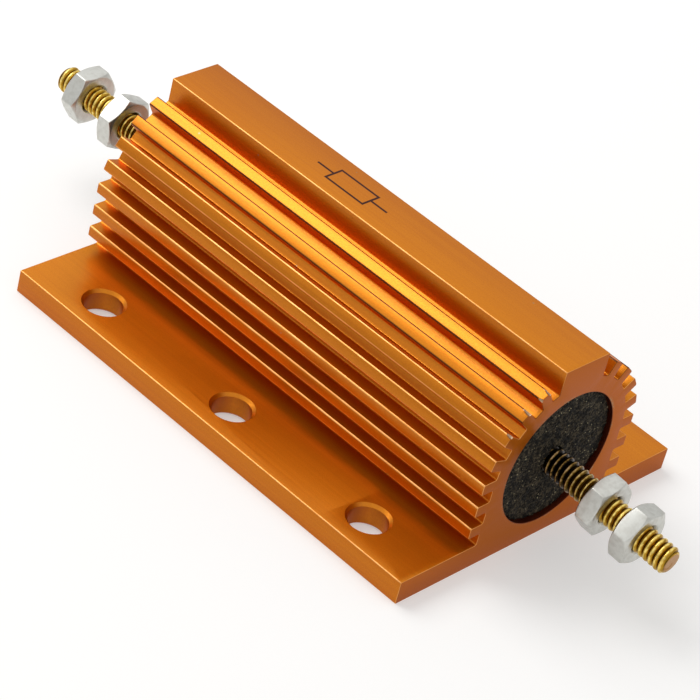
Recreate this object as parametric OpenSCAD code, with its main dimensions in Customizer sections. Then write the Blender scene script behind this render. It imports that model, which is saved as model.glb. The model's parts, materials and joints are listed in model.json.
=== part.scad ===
// Aluminium housed power resistor with threaded stud terminals.
// X runs along the housing, Z is up, and the origin is at the middle of the housing's underside.

/* [Housing] */
// Length of the extruded housing
housing_len = 88.9; // [70:0.1:130]
// Width across both mounting flanges
base_w = 63.8; // [61:0.1:90]
// Thickness of the base and its flanges
base_t = 4.2; // [3:0.1:6]
// Height from the underside to the top of the ridge
housing_h = 33.9; // [32:0.1:45]
// Width of the flat ridge on top
ridge_w = 10.2; // [6:0.1:12]
// Diameter of the bore that holds the element
bore_d = 24.3; // [20:0.1:25]
// Height of the bore's axis above the underside
bore_z = 15.3; // [15:0.1:17]
// Wall between the bore and the bottom of the grooves
wall_t = 2.95; // [2:0.05:4]

/* [Cooling fins] */
// Thickness of a fin
fin_t = 2.0; // [1.2:0.1:2.6]
// Height of a fin above the bottom of its groove
fin_depth = 2.6; // [1:0.1:4]
// Gap between two straight fins, and between the lowest one and the flange
fin_gap = 2.3; // [1.6:0.1:3]
// Straight fins on each side, counted up from the flange
straight_fins = 3; // [1:1:3]
// Fins on each side that point away from the bore's axis
radial_fins = 4; // [1:1:4]
// Angle from one radial fin to the next
radial_step = 14.5; // [12:0.1:15]

/* [Mounting holes] */
// Holes in each flange
holes_per_flange = 3; // [2:1:3]
// Distance between neighbouring holes along a flange
hole_pitch = 31.0; // [20:0.1:33]
// Distance between the two rows of holes
hole_row_gap = 50.7; // [48:0.1:52]
// Diameter of a hole
hole_d = 6.6; // [4:0.1:7]
// Chamfer at both ends of a hole
hole_chamfer = 0.5; // [0.2:0.05:0.8]

/* [Resistance element] */
// Diameter of the ceramic core
core_d = 15.0; // [10:0.1:16]
// Bore through the ceramic core
core_bore_d = 6.0; // [3:0.1:8]
// Diameter of the resistance wire
wire_d = 0.9; // [0.4:0.05:1.2]
// Distance from one turn of wire to the next
turn_pitch = 1.8; // [1.3:0.1:4]
// Wall of an end cap around the core
cap_wall = 0.6; // [0.4:0.05:1]
// Thickness of the end of an end cap
cap_end_t = 1.5; // [1:0.1:3]
// Length of core that an end cap covers
cap_grip = 6.0; // [3:0.1:10]
// Depth of an end cap's outer face below the end of the housing
cap_depth = 14.75; // [8:0.05:20]

/* [Cement filling] */
// Depth of the cement's surface below the end of the housing
cement_recess = 1.0; // [0.3:0.1:3]

/* [Terminal studs] */
// Major diameter of the studs' thread
stud_d = 4.8; // [3:0.1:5]
// Chamfer at the tip of a stud
stud_chamfer = 0.6; // [0.2:0.1:1]
// Angle by which the front stud leans down from the bore's axis
front_lean = 4.2; // [0:0.1:5]
// Angle by which the rear stud leans up from the bore's axis
rear_lean = 0.8; // [0:0.1:3]

/* [Terminal nuts] */
// Width of a nut across its flats
nut_af = 9.0; // [7:0.1:10]
// Thickness of a nut
nut_t = 3.4; // [2:0.1:5]
// Depth of the countersink at each end of a nut's bore
nut_countersink = 0.45; // [0.1:0.05:0.8]
// Radial gap between a stud and a nut's bore
thread_gap = 0.02; // [0:0.01:0.1]
// Distance along the front stud from the housing to the inner nut
front_nut_gap = 8.5; // [2:0.1:15]
// Distance along the front stud between its nuts
front_nut_space = 3.7; // [0.5:0.1:10]
// Length of the front stud beyond its outer nut
front_tail = 5.6; // [1.5:0.1:15]
// Distance along the rear stud from the housing to the inner nut
rear_nut_gap = 11.8; // [2:0.1:15]
// Distance along the rear stud between its nuts
rear_nut_space = 5.6; // [0.5:0.1:10]
// Length of the rear stud beyond its outer nut
rear_tail = 4.2; // [1.5:0.1:15]
// Turn of the front inner nut on its stud
front_inner_clock = 40; // [0:1:59]
// Turn of the front outer nut on its stud
front_outer_clock = 14; // [0:1:59]
// Turn of the rear inner nut on its stud
rear_inner_clock = 52; // [0:1:59]
// Turn of the rear outer nut on its stud
rear_outer_clock = 28; // [0:1:59]

/* [Hidden] */
$fn = 96;
eps = 0.01;
past = 1;                                   // how far a cutter runs past what it cuts

// Housing section
body_r = bore_d / 2 + wall_t;               // bottom of the grooves
fin_r = body_r + fin_depth;                 // tips of the fins
fin_root = body_r - wall_t / 2;             // where a fin starts, inside the wall
fin_pitch = fin_t + fin_gap;
top_fin_z = base_t + straight_fins * fin_pitch - fin_t / 2;
radial_start = asin((top_fin_z - bore_z) / fin_r);

// Element, from the middle of the housing outwards
cap_face_x = housing_len / 2 - cap_depth;   // outer face of an end cap
core_half = cap_face_x - cap_end_t;
cap_rim_x = core_half - cap_grip;           // inner rim of an end cap
cap_d = core_d + 2 * cap_wall;
winding_d = core_d + 2 * wire_d;
turns = floor(2 * cap_rim_x / turn_pitch);
turn_step = 2 * cap_rim_x / turns;

// Distances along each stud, from its end cap
front_end = cap_depth / cos(front_lean);    // level with the end of the housing
front_inner_at = front_end + front_nut_gap;
front_outer_at = front_inner_at + nut_t + front_nut_space;
front_len = front_outer_at + nut_t + front_tail;
rear_end = cap_depth / cos(rear_lean);
rear_inner_at = rear_end + rear_nut_gap;
rear_outer_at = rear_inner_at + nut_t + rear_nut_space;
rear_len = rear_outer_at + nut_t + rear_tail;

// Nut chamfer: 30 degrees, from a flat face a little smaller than the flats
chamfer_deg = 30;
nut_face_d = 0.96 * nut_af;
nut_corner_d = nut_af / cos(30);
nut_chamfer = (nut_corner_d - nut_face_d) / 2 * tan(chamfer_deg);

gold = "#c98a32";
steatite = "#e8e2d4";
nichrome = "#8d8a86";
plated_cap = "#a9a7a2";
cement = "#2a2723";
brass = "#c2a042";
nickel = "#c4c4bf";

// Turns a shape that stands on Z so that it lies along X, facing the front or the rear
module along_x(side) {
    rotate([0, side * 90, 0]) children();
}

// Frame of a terminal: the origin on the end cap's face, Z out along the leaning stud
module on_front_terminal() {
    translate([cap_face_x, 0, bore_z]) rotate([0, 90 + front_lean, 0]) children();
}

module on_rear_terminal() {
    translate([-cap_face_x, 0, bore_z]) rotate([0, rear_lean - 90, 0]) children();
}

// Right half of the straight fins, in the plane of the section
module straight_fin(level) {
    translate([fin_root, base_t + level * fin_pitch - fin_t])
        square([fin_r - fin_root, fin_t]);
}

module radial_fin(index) {
    translate([0, bore_z])
        rotate(radial_start + index * radial_step)
            translate([fin_root, -fin_t / 2])
                square([fin_r - fin_root, fin_t]);
}

module fin_side() {
    for (level = [1 : straight_fins]) straight_fin(level);
    for (index = [1 : radial_fins]) radial_fin(index);
}

// Section of the extrusion: horizontal is Y, vertical is Z
module housing_section() {
    difference() {
        union() {
            translate([-base_w / 2, 0]) square([base_w, base_t]);
            translate([-body_r, 0]) square([2 * body_r, bore_z]);
            translate([0, bore_z]) circle(r = body_r);
            translate([-ridge_w / 2, bore_z]) square([ridge_w, housing_h - bore_z]);
            fin_side();
            mirror([1, 0]) fin_side();
        }
        translate([0, bore_z]) circle(d = bore_d);
    }
}

module mounting_hole() {
    translate([0, 0, -past]) cylinder(d = hole_d, h = base_t + 2 * past);
    for (end = [0, 1])
        translate([0, 0, end * base_t]) mirror([0, 0, end])
            translate([0, 0, -eps])
                cylinder(d1 = hole_d + 2 * (hole_chamfer + eps), d2 = hole_d,
                         h = hole_chamfer + eps);
}

module housing() {
    color(gold)
    difference() {
        translate([-housing_len / 2, 0, 0])
            rotate([90, 0, 90]) linear_extrude(height = housing_len) housing_section();
        for (row = [-1, 1], i = [0 : holes_per_flange - 1])
            translate([(i - (holes_per_flange - 1) / 2) * hole_pitch, row * hole_row_gap / 2, 0])
                mounting_hole();
    }
}

module ceramic_core() {
    color(steatite)
    translate([-core_half, 0, bore_z]) along_x(1)
        difference() {
            cylinder(d = core_d, h = 2 * core_half);
            translate([0, 0, -past]) cylinder(d = core_bore_d, h = 2 * core_half + 2 * past);
        }
}

// Half round of wire in the plane of the turned section, as a few points from root to root
function turn_points(at) =
    [for (a = [-60 : 30 : 60])
        [core_d / 2 + wire_d * (0.5 + 0.5 * cos(a)), at + wire_d / 2 * sin(a)]];

// All the turns of wire, as one turned solid on the core between the end caps
module resistance_winding() {
    color(nichrome)
    translate([-cap_rim_x, 0, bore_z]) along_x(1)
        rotate_extrude()
            polygon(concat(
                [[core_d / 2, 0], [core_d / 2 + wire_d / 2, 0]],
                [for (i = [0 : turns - 1]) each turn_points((i + 0.5) * turn_step)],
                [[core_d / 2 + wire_d / 2, 2 * cap_rim_x], [core_d / 2, 2 * cap_rim_x]]));
}

// Pressed cup that grips one end of the core
module end_cap() {
    color(plated_cap)
    difference() {
        cylinder(d = cap_d, h = cap_grip + cap_end_t);
        translate([0, 0, -past]) cylinder(d = core_d, h = cap_grip + past);
    }
}

module end_cap_front() {
    translate([cap_rim_x, 0, bore_z]) along_x(1) end_cap();
}

module end_cap_rear() {
    translate([-cap_rim_x, 0, bore_z]) along_x(-1) end_cap();
}

// Everything that the cement is cast around
module element_envelope() {
    translate([-cap_rim_x, 0, bore_z]) along_x(1) cylinder(d = winding_d, h = 2 * cap_rim_x);
    translate([-cap_face_x, 0, bore_z]) along_x(1) cylinder(d = cap_d, h = 2 * cap_face_x);
    on_front_terminal() translate([0, 0, -past]) cylinder(d = stud_d, h = cap_depth + 2 * past);
    on_rear_terminal() translate([0, 0, -past]) cylinder(d = stud_d, h = cap_depth + 2 * past);
}

module cement_filling() {
    cement_half = housing_len / 2 - cement_recess;
    color(cement)
    difference() {
        translate([-cement_half, 0, bore_z]) along_x(1) cylinder(d = bore_d, h = 2 * cement_half);
        element_envelope();
    }
}

// Stud in its terminal frame, started inside the cap so that its root can be cut flush
module stud_bar(length) {
    translate([0, 0, -past]) cylinder(d = stud_d, h = length + past - stud_chamfer);
    translate([0, 0, length - stud_chamfer])
        cylinder(d1 = stud_d, d2 = stud_d - 2 * stud_chamfer, h = stud_chamfer);
}

// The block inside the end caps' outer faces
module inside_caps() {
    translate([-cap_face_x, -cap_d, bore_z - cap_d]) cube([2 * cap_face_x, 2 * cap_d, 2 * cap_d]);
}

module stud_front() {
    color(brass)
    difference() {
        on_front_terminal() stud_bar(front_len);
        inside_caps();
    }
}

module stud_rear() {
    color(brass)
    difference() {
        on_rear_terminal() stud_bar(rear_len);
        inside_caps();
    }
}

// Hexagon nut standing on Z, both faces chamfered and both ends of its bore countersunk
module hex_nut() {
    bore_r = stud_d / 2 + thread_gap;
    face_r = nut_face_d / 2;
    corner_r = nut_corner_d / 2;
    color(nickel)
    difference() {
        intersection() {
            cylinder(d = nut_corner_d, h = nut_t, $fn = 6);
            rotate_extrude()
                polygon([[0, 0], [face_r, 0], [corner_r + eps, nut_chamfer],
                         [corner_r + eps, nut_t - nut_chamfer], [face_r, nut_t], [0, nut_t]]);
        }
        rotate_extrude()
            polygon([[0, -past], [bore_r + nut_countersink + past, -past],
                     [bore_r, nut_countersink], [bore_r, nut_t - nut_countersink],
                     [bore_r + nut_countersink + past, nut_t + past], [0, nut_t + past]]);
    }
}

module nut_front_inner() {
    on_front_terminal() translate([0, 0, front_inner_at]) rotate(front_inner_clock) hex_nut();
}

module nut_front_outer() {
    on_front_terminal() translate([0, 0, front_outer_at]) rotate(front_outer_clock) hex_nut();
}

module nut_rear_inner() {
    on_rear_terminal() translate([0, 0, rear_inner_at]) rotate(rear_inner_clock) hex_nut();
}

module nut_rear_outer() {
    on_rear_terminal() translate([0, 0, rear_outer_at]) rotate(rear_outer_clock) hex_nut();
}

housing();
ceramic_core();
resistance_winding();
end_cap_front();
end_cap_rear();
cement_filling();
stud_front();
stud_rear();
nut_front_inner();
nut_front_outer();
nut_rear_inner();
nut_rear_outer();
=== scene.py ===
"""Looks of an aluminium housed power resistor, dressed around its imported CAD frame.

Sizes in the classes are millimetres in the part's own frame: X runs along the housing, Z points up
through the ridge, and the origin is at the middle of the underside. A finished mesh is in metres.
"""

import json
import logging
import math
from dataclasses import dataclass, field
from enum import Enum
from typing import Any, Sequence

import bmesh
import bpy
from mathutils import Matrix, Vector


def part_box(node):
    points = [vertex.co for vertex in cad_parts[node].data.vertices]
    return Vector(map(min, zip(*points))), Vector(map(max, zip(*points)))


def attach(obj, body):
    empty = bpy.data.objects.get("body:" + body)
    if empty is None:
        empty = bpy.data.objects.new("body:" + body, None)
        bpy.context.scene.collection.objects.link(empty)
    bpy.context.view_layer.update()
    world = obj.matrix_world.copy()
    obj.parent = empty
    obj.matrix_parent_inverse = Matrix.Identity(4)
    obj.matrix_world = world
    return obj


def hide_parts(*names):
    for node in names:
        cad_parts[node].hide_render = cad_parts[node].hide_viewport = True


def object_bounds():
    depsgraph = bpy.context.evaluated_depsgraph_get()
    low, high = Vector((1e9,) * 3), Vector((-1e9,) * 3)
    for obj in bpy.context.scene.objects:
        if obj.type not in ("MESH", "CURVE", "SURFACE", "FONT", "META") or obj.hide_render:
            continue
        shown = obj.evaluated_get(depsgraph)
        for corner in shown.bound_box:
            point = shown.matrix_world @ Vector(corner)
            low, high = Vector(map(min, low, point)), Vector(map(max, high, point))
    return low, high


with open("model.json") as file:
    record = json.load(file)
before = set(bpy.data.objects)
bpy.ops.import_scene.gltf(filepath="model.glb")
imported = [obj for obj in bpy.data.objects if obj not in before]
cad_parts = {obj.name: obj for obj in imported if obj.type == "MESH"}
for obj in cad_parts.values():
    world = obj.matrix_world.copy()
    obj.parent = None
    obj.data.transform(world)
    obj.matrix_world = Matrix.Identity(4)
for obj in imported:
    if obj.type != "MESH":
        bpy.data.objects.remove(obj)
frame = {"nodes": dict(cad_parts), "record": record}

log = logging.getLogger("resistor")

MM = 0.001
BODY = "root"
cad_low, cad_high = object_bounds()


class Slot(Enum):
    """The record's material slots."""

    ANODISED = "gold_anodised_aluminium"
    STEATITE = "steatite"
    WIRE = "resistance_wire"
    CAP = "plated_steel_cap"
    CEMENT = "black_cement"
    BRASS = "brass"
    NICKEL = "nickel_plated_steel"


class End(Enum):
    """The two ends of the housing, as the sign of their direction along X."""

    FRONT = 1
    REAR = -1


# ---------------------------------------------------------------------------------------------
# Helpers for nodes and colours
# ---------------------------------------------------------------------------------------------


def linear(hex_colour: str) -> tuple[float, float, float, float]:
    """Turns an sRGB hex colour into the linear colour that a shader takes.

    Args:
        hex_colour: a colour such as "#d08a30".

    Returns:
        Red, green and blue in linear light, with an alpha of 1.
    """
    channels = [int(hex_colour[i : i + 2], 16) / 255 for i in (1, 3, 5)]
    red, green, blue = [c / 12.92 if c <= 0.04045 else ((c + 0.055) / 1.055) ** 2.4 for c in channels]
    return red, green, blue, 1.0


def add_node(
    tree: bpy.types.NodeTree, kind: str, inputs: dict[Any, Any] | None = None, **settings: Any
) -> bpy.types.Node:
    """Adds a node to a tree, with its settings and its links.

    Args:
        tree: the node tree.
        kind: the node's type.
        inputs: what each input takes, by its name or place: a node, a socket or a constant.
        settings: the node's own properties.

    Returns:
        The new node.
    """
    node = tree.nodes.new(kind)
    for name, value in settings.items():
        setattr(node, name, value)
    for key, value in (inputs or {}).items():
        source = value.outputs[0] if isinstance(value, bpy.types.Node) else value
        if isinstance(source, bpy.types.NodeSocket):
            tree.links.new(source, node.inputs[key])
        else:
            node.inputs[key].default_value = source
    return node


def colour_stops(ramp_node: bpy.types.Node, stops: Sequence[tuple[float, str]]) -> bpy.types.Node:
    """Sets the stops of a colour ramp.

    Args:
        ramp_node: the ramp.
        stops: pairs of a place from 0 to 1 and an sRGB hex colour.

    Returns:
        The same node.
    """
    elements = ramp_node.color_ramp.elements
    while len(elements) < len(stops):
        elements.new(1.0)
    for element, (place, hex_colour) in zip(elements, stops):
        element.position = place
        element.color = linear(hex_colour)
    return ramp_node


def lay_over(
    tree: bpy.types.NodeTree, base: Any, layers: Sequence[tuple[Any, str]]
) -> bpy.types.NodeSocket:
    """Lays colours over one another, each where its mask lets it show.

    Args:
        tree: the material's node tree.
        base: the lowest colour, as an sRGB hex colour or a socket.
        layers: pairs of a mask from 0 to 1 and an sRGB hex colour, the lowest first.

    Returns:
        The socket of the finished colour.
    """
    colour = linear(base) if isinstance(base, str) else base
    for mask, hex_colour in layers:
        inputs = {0: mask, 6: colour, 7: linear(hex_colour)}
        colour = add_node(tree, "ShaderNodeMix", inputs, data_type="RGBA").outputs[2]
    return colour


# ---------------------------------------------------------------------------------------------
# Helpers for meshes
# ---------------------------------------------------------------------------------------------


def new_object(name: str, mesh: bpy.types.Mesh) -> bpy.types.Object:
    """Links a mesh into the scene as an object at the origin.

    Args:
        name: the object's name.
        mesh: its mesh.

    Returns:
        The object.
    """
    obj = bpy.data.objects.new(name, mesh)
    bpy.context.scene.collection.objects.link(obj)
    return obj


def loft(name: str, rings: Sequence[Sequence[Vector]], closed_path: bool = False) -> bpy.types.Mesh:
    """Joins rings of points into a closed skin.

    Args:
        name: the mesh's name.
        rings: rings with the same number of points, in order.
        closed_path: whether the last ring joins the first one. Otherwise both ends get a cap.

    Returns:
        The mesh, with its faces pointing outwards.
    """
    around = len(rings[0])
    points = [tuple(p) for ring in rings for p in ring]
    steps = len(rings) if closed_path else len(rings) - 1
    faces = []
    for i in range(steps):
        near, far = i * around, (i + 1) % len(rings) * around
        for j in range(around):
            k = (j + 1) % around
            faces.append((near + j, near + k, far + k, far + j))
    if not closed_path:
        faces.append(tuple(reversed(range(around))))
        faces.append(tuple(range(len(points) - around, len(points))))
    mesh = bpy.data.meshes.new(name)
    mesh.from_pydata(points, [], faces)
    face_outwards(mesh)
    return mesh


def face_outwards(mesh: bpy.types.Mesh) -> None:
    """Merges doubles and turns every face of a closed mesh outwards."""
    shell = bmesh.new()
    shell.from_mesh(mesh)
    bmesh.ops.remove_doubles(shell, verts=shell.verts, dist=1e-5)
    bmesh.ops.recalc_face_normals(shell, faces=shell.faces)
    shell.to_mesh(mesh)
    shell.free()


def circle(centre: Vector, radius: float, across: Vector, up: Vector, steps: int) -> list[Vector]:
    """Gives the points of a circle.

    Args:
        centre: its centre.
        radius: its radius.
        across: the unit direction of its first point.
        up: the unit direction of the point a quarter turn on.
        steps: how many points it has.

    Returns:
        The points, in order.
    """
    turns = [2 * math.pi * i / steps for i in range(steps)]
    return [centre + radius * (math.cos(t) * across + math.sin(t) * up) for t in turns]


def smooth(mesh: bpy.types.Mesh, sharp_above_deg: float) -> None:
    """Shades a mesh smooth, with a sharp edge wherever it bends by more than an angle."""
    mesh.shade_smooth()
    mesh.set_sharp_from_angle(angle=math.radians(sharp_above_deg))


def with_modifiers(obj: bpy.types.Object, name: str) -> bpy.types.Object:
    """Turns an object and its modifiers into a plain mesh object.

    Args:
        obj: the object, which is removed.
        name: the name of the result.

    Returns:
        The plain object.
    """
    graph = bpy.context.evaluated_depsgraph_get()
    mesh = bpy.data.meshes.new_from_object(obj.evaluated_get(graph))
    obj.modifiers.clear()
    bpy.data.objects.remove(obj)
    mesh.name = name
    return new_object(name, mesh)


def run_tree(
    source: bpy.types.Mesh, tree: bpy.types.NodeTree, values: dict[str, Any], name: str
) -> bpy.types.Object:
    """Runs a geometry tree on a mesh.

    Args:
        source: the mesh that the tree starts from.
        tree: the geometry node tree.
        values: its inputs, by name.
        name: the name of the result.

    Returns:
        The result as a plain mesh object.
    """
    obj = new_object(name + "_source", source)
    modifier = obj.modifiers.new("tree", "NODES")
    modifier.node_group = tree
    for item in tree.interface.items_tree:
        if item.in_out == "INPUT" and item.name in values:
            modifier[item.identifier] = values[item.name]
    made = with_modifiers(obj, name)
    made.data.materials.clear()
    made.data.materials.append(values["Material"])
    made.data.polygons.foreach_set("material_index", [0] * len(made.data.polygons))
    return made


def new_tree(name: str, inputs: dict[str, str]) -> bpy.types.NodeTree:
    """Starts a geometry tree with a geometry input, named inputs of its own and a material input.

    Args:
        name: the tree's name.
        inputs: the kind of each input, by its name.

    Returns:
        The tree, with no nodes yet.
    """
    tree = bpy.data.node_groups.new(name, "GeometryNodeTree")
    for socket_name, kind in {"Geometry": "Geometry", **inputs, "Material": "Material"}.items():
        tree.interface.new_socket(socket_name, in_out="INPUT", socket_type="NodeSocket" + kind)
    tree.interface.new_socket("Geometry", in_out="OUTPUT", socket_type="NodeSocketGeometry")
    return tree


def end_tree(tree: bpy.types.NodeTree, geometry: bpy.types.Node, source: bpy.types.Node) -> None:
    """Ends a geometry tree in Realize Instances and Set Material.

    Args:
        tree: the tree.
        geometry: the node whose geometry is the result.
        source: the tree's Group Input, which gives the material.
    """
    real = add_node(tree, "GeometryNodeRealizeInstances", {"Geometry": geometry})
    dressed = add_node(
        tree, "GeometryNodeSetMaterial", {"Geometry": real, "Material": source.outputs["Material"]}
    )
    add_node(tree, "NodeGroupOutput", {"Geometry": dressed})


def place(obj: bpy.types.Object, slot: Slot, *replaced: str) -> bpy.types.Object:
    """Scales a finished piece from millimetres to metres and fixes it to the body.

    Args:
        obj: the piece.
        slot: the material slot that it takes its finish from.
        replaced: the CAD nodes that it stands for.

    Returns:
        The piece.
    """
    obj.data.transform(Matrix.Scale(MM, 4))
    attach(obj, BODY)
    if replaced:
        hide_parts(*replaced)
    log.info("%s: %d faces, slot %s", obj.name, len(obj.data.polygons), slot.value)
    return obj


# ---------------------------------------------------------------------------------------------
# Finishes
# ---------------------------------------------------------------------------------------------


@dataclass(frozen=True)
class Finish:
    """A surface finish. A subclass draws its pattern on the shader.

    Args:
        name: the material's name.
        metallic: how metallic it is.
        roughness: its roughness before the pattern varies it.
    """

    name: str
    metallic: float
    roughness: float

    def material(self) -> bpy.types.Material:
        """Builds the finish as a new material."""
        material = bpy.data.materials.new(self.name)
        material.use_nodes = True
        tree = material.node_tree
        tree.nodes.clear()
        settings = {"Metallic": self.metallic, "Roughness": self.roughness}
        shader = add_node(tree, "ShaderNodeBsdfPrincipled", settings)
        add_node(tree, "ShaderNodeOutputMaterial", {"Surface": shader})
        self.draw(tree, shader)
        return material

    def draw(self, tree: bpy.types.NodeTree, shader: bpy.types.Node) -> None:
        """Draws the pattern.

        Args:
            tree: the material's node tree.
            shader: its Principled BSDF.
        """
        raise NotImplementedError


def per_cell(size_mm: float) -> float:
    """Gives the texture scale at which one cell of a pattern is a size in millimetres."""
    return 1 / (size_mm * MM)


@dataclass(frozen=True)
class GoldAnodising(Finish):
    """Gold-dyed anodised aluminium on an etched extrusion.

    The etch leaves a satin face with a fine grain, and the die leaves faint lines along the length.
    The clear skin of the oxide adds a pale sheen of its own. The dye is thin along the edges, which
    are also painted paler as a highlight; the crowns of the steep fins beside the ridge are painted
    dark as shade instead, upright faces take the deeper dye as painted shade, and bare metal shows
    in chips, in specks and around the bore's rim.

    Args:
        dye: the colour of the dyed oxide.
        deep_dye_and_side_shade: its colour where the oxide is thicker, and the painted shade on upright faces.
        edge: the colour along the edges' crowns, partly worn dye and partly a painted highlight.
        sawn: the colour of the sawn end faces.
        grime: the colour of the painted shade on the crowns of the steep fins beside the ridge.
        bore_wall_tone: the dark maroon colour of the bore's wall.
        bare: the colour of the metal where the oxide has gone.
        ink: the colour of the printed symbol.
        grazing: the tint of the oxide at a grazing angle.
        skin: how much sheen its clear skin adds.
        grain_mm: the size of the etched grain, drawn coarser than real so that it shows.
        die_line_mm: the distance between die lines.
    """

    dye: str = "#d07e10"
    deep_dye_and_side_shade: str = "#be6a08"
    edge: str = "#eaa862"
    sawn: str = "#b46206"
    grime: str = "#5a2c04"
    bore_wall_tone: str = "#6e2a10"
    bare: str = "#a98a6c"
    ink: str = "#2c1408"
    grazing: str = "#f0b070"
    skin: float = 0.28
    grain_mm: float = 0.22
    die_line_mm: float = 0.5

    def draw(self, tree: bpy.types.NodeTree, shader: bpy.types.Node) -> None:
        """Draws grain, die lines, worn edges with a painted highlight, painted shade, sawn ends and the printed
        symbol.
        """
        coordinates = add_node(tree, "ShaderNodeTexCoord")
        where = coordinates.outputs["Object"]
        grain, cloud = [
            add_node(
                tree, "ShaderNodeTexNoise", {"Vector": where, "Scale": per_cell(size), "Detail": 2.0}
            )
            for size in (self.grain_mm, 4.0)
        ]
        drawn_out = add_node(tree, "ShaderNodeMapping", {"Vector": where, "Scale": (0.02, 1.0, 1.0)})
        lines = add_node(
            tree,
            "ShaderNodeTexNoise",
            {"Vector": drawn_out, "Scale": per_cell(self.die_line_mm), "Detail": 2.0},
        )

        # Masks: the depth of the dye with painted shade on upright faces, the sawn ends, the worn edges with
        # their painted highlight and the bare metal
        facing = add_node(tree, "ShaderNodeSeparateXYZ", {0: coordinates.outputs["Normal"]})
        # Painted shade: upright faces get the deeper dye, darker than faces that look up
        upright = add_node(
            tree,
            "ShaderNodeMapRange",
            {"Value": facing.outputs["Z"], "From Min": 0.95, "From Max": 0.5, "To Max": 0.5},
        )
        depth = add_node(
            tree,
            "ShaderNodeMath",
            {0: grain.outputs[0], 1: 1.6, 2: lines.outputs[0]},
            operation="MULTIPLY_ADD",
        )
        depth = add_node(
            tree, "ShaderNodeMapRange", {"Value": depth, "From Min": 1.0, "From Max": 1.6, "To Max": 0.5}
        )
        depth = add_node(tree, "ShaderNodeMath", {0: depth, 1: upright}, operation="ADD")
        endwards = add_node(tree, "ShaderNodeMath", {0: facing.outputs["X"]}, operation="ABSOLUTE")
        is_end = add_node(
            tree, "ShaderNodeMapRange", {"Value": endwards, "From Min": 0.6, "From Max": 0.95}
        )
        patchy = add_node(
            tree,
            "ShaderNodeMapRange",
            {"Value": cloud.outputs[0], "From Min": 0.35, "From Max": 0.65, "To Min": 0.5},
        )
        # Crowns that are worn and get a painted highlight, crowns of the steep fins that get painted shade, and
        # bare chips
        edge, grime, chipped = [
            add_node(tree, "ShaderNodeAttribute", attribute_name=name).outputs["Fac"]
            for name in ("edge", "grime", "bare")
        ]
        # Pale crowns: the dye worn thin there, and a painted highlight along the rounded edges
        worn_edge_and_highlight = add_node(tree, "ShaderNodeMath", {0: edge, 1: patchy}, operation="MULTIPLY")
        specks = add_node(tree, "ShaderNodeTexVoronoi", {"Vector": where, "Scale": per_cell(7.0)})
        speck = add_node(
            tree,
            "ShaderNodeMapRange",
            {"Value": specks.outputs["Distance"], "From Min": 0.035, "From Max": 0.02, "To Max": 0.8},
        )
        scuffed = self.around_bore(tree, where, 0.6, 0.15)
        scuffed = add_node(tree, "ShaderNodeMath", {0: scuffed, 1: is_end}, operation="MULTIPLY")
        flaked = add_node(
            tree, "ShaderNodeMath", {0: cloud.outputs[0], 1: grain.outputs[0]}, operation="ADD"
        )
        flaked = add_node(tree, "ShaderNodeMapRange", {"Value": flaked, "From Min": 1.06, "From Max": 1.2})
        scuffed = add_node(tree, "ShaderNodeMath", {0: scuffed, 1: flaked}, operation="MULTIPLY")
        bare = add_node(tree, "ShaderNodeMath", {0: speck, 1: scuffed}, operation="MAXIMUM")
        bare = add_node(tree, "ShaderNodeMath", {0: bare, 1: chipped}, operation="MAXIMUM")
        colour = lay_over(
            tree,
            self.dye,
            [
                # the deeper dye, and painted shade on upright faces
                (depth, self.deep_dye_and_side_shade),
                (is_end, self.sawn),
                # painted shade on the crowns of the steep fins
                (grime, self.grime),
                # worn edges with a painted highlight
                (worn_edge_and_highlight, self.edge),
                (bare, self.bare),
                # the dark maroon colour of the bore's wall
                (self.around_bore(tree, where, 0.15, 0.02), self.bore_wall_tone),
                (self.symbol(tree, where, facing.outputs["Z"]), self.ink),
            ],
        )
        tree.links.new(colour, shader.inputs["Base Color"])
        shader.inputs["Specular Tint"].default_value = linear(self.grazing)
        shader.inputs["Coat Weight"].default_value = self.skin
        shader.inputs["Coat Roughness"].default_value = 0.25

        # Gloss: the ends are duller, and grain breaks the gloss up
        dull = add_node(
            tree,
            "ShaderNodeMapRange",
            {"Value": is_end, "To Min": self.roughness, "To Max": self.roughness + 0.16},
        )
        broken = add_node(
            tree, "ShaderNodeMath", {0: grain.outputs[0], 1: 0.12, 2: dull}, operation="MULTIPLY_ADD"
        )
        tree.links.new(broken.outputs[0], shader.inputs["Roughness"])

        # Relief: the grain and the die lines
        relief = add_node(
            tree,
            "ShaderNodeMath",
            {0: lines.outputs[0], 1: 1.6, 2: grain.outputs[0]},
            operation="MULTIPLY_ADD",
        )
        bump = add_node(
            tree, "ShaderNodeBump", {"Height": relief, "Strength": 0.5, "Distance": 0.02 * MM}
        )
        tree.links.new(bump.outputs[0], shader.inputs["Normal"])

    def around_bore(
        self, tree: bpy.types.NodeTree, where: bpy.types.NodeSocket, outer_mm: float, inner_mm: float
    ) -> bpy.types.Node:
        """Finds what lies close to the wall of the bore, by its distance from the bore's axis.

        Args:
            tree: the material's node tree.
            where: the object coordinates, in metres.
            outer_mm: how far outside the wall it fades to 0.
            inner_mm: how far outside the wall it reaches 1.

        Returns:
            The node that is 1 by the wall and 0 elsewhere.
        """
        low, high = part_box("cement_filling")
        section = add_node(
            tree,
            "ShaderNodeVectorMath",
            {0: where, 1: (0.0, 1.0, 1.0), 2: (0.0, 0.0, -(low.z + high.z) / 2)},
            operation="MULTIPLY_ADD",
        )
        away = add_node(tree, "ShaderNodeVectorMath", {0: section}, operation="LENGTH").outputs["Value"]
        radius = (high.y - low.y) / 2
        return add_node(
            tree,
            "ShaderNodeMapRange",
            {"Value": away, "From Min": radius + outer_mm * MM, "From Max": radius + inner_mm * MM},
        )

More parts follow.
